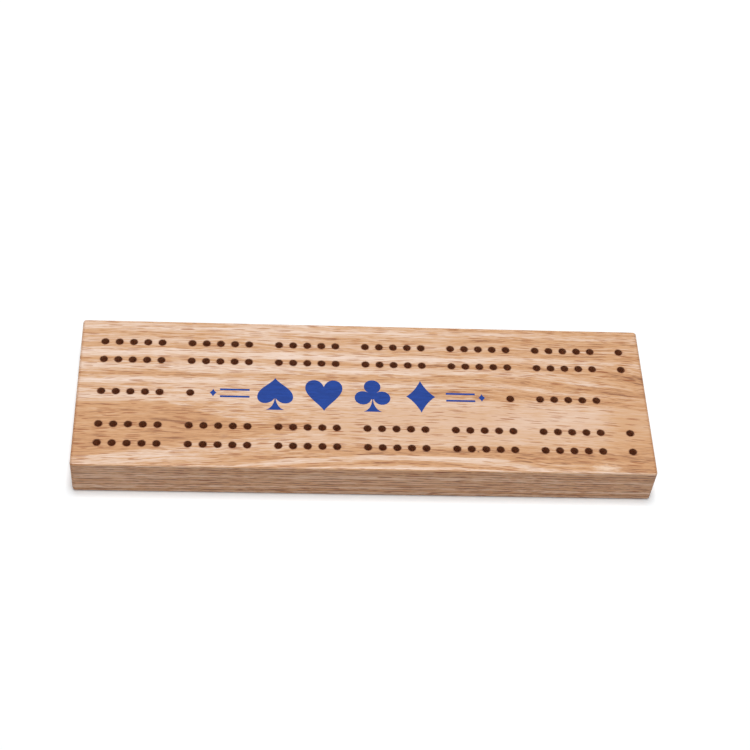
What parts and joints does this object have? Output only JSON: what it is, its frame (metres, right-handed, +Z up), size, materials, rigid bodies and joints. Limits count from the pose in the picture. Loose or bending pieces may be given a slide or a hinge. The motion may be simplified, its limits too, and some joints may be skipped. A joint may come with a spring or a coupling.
{
  "type": "cribbage box with drawer",
  "caption": "Oblong solid-wood cribbage board with rows of peg holes on top and a shallow peg drawer that slides out of one end.",
  "frame": {"origin": "centre of the underside", "axes": "+X along the length to the end where the drawer opens, +Y to the far long side, +Z up; -Y faces the players"},
  "size_m": [0.253, 0.08, 0.0195],
  "materials": {
    "oak": "planed and sanded red oak, bare or thinly oiled",
    "birch_ply": "sanded thin birch plywood",
    "poplar": "planed pale hardwood",
    "brass_screw": "plain brass, slightly dulled",
    "steel_screw": "zinc-plated steel",
    "steel_brad": "bright steel",
    "nickel_magnet": "nickel-plated disc",
    "felt": "thin wool felt",
    "peg_brass": "turned and polished brass",
    "peg_nickel": "turned brass, nickel-plated",
    "print_ink": "thin screen-printed ink on the wood, drawn only in the visual model"
  },
  "bodies": {
    "case": {"oak_block": "oak", "bottom_panel": "birch_ply", "panel_screws": "brass_screw", "drawer_stop_screw": "steel_screw", "catch_magnet_box": "nickel_magnet"},
    "drawer": {"catch_magnet_drawer": "nickel_magnet", "drawer_front": "oak", "drawer_side_near": "poplar", "drawer_side_far": "poplar", "drawer_back": "poplar", "drawer_bottom": "birch_ply", "drawer_divider": "poplar", "drawer_brads": "steel_brad", "lane_liner_near": "felt", "lane_liner_far": "felt", "peg_brass_1": "peg_brass", "peg_brass_2": "peg_brass", "peg_brass_3": "peg_brass", "peg_nickel_1": "peg_nickel", "peg_nickel_2": "peg_nickel", "peg_nickel_3": "peg_nickel"}
  },
  "joints": [
    {"name": "drawer_slide", "type": "slide", "parent": "case", "child": "drawer", "axis": [1, 0, 0], "range_m": [0, 0.092]}
  ]
}
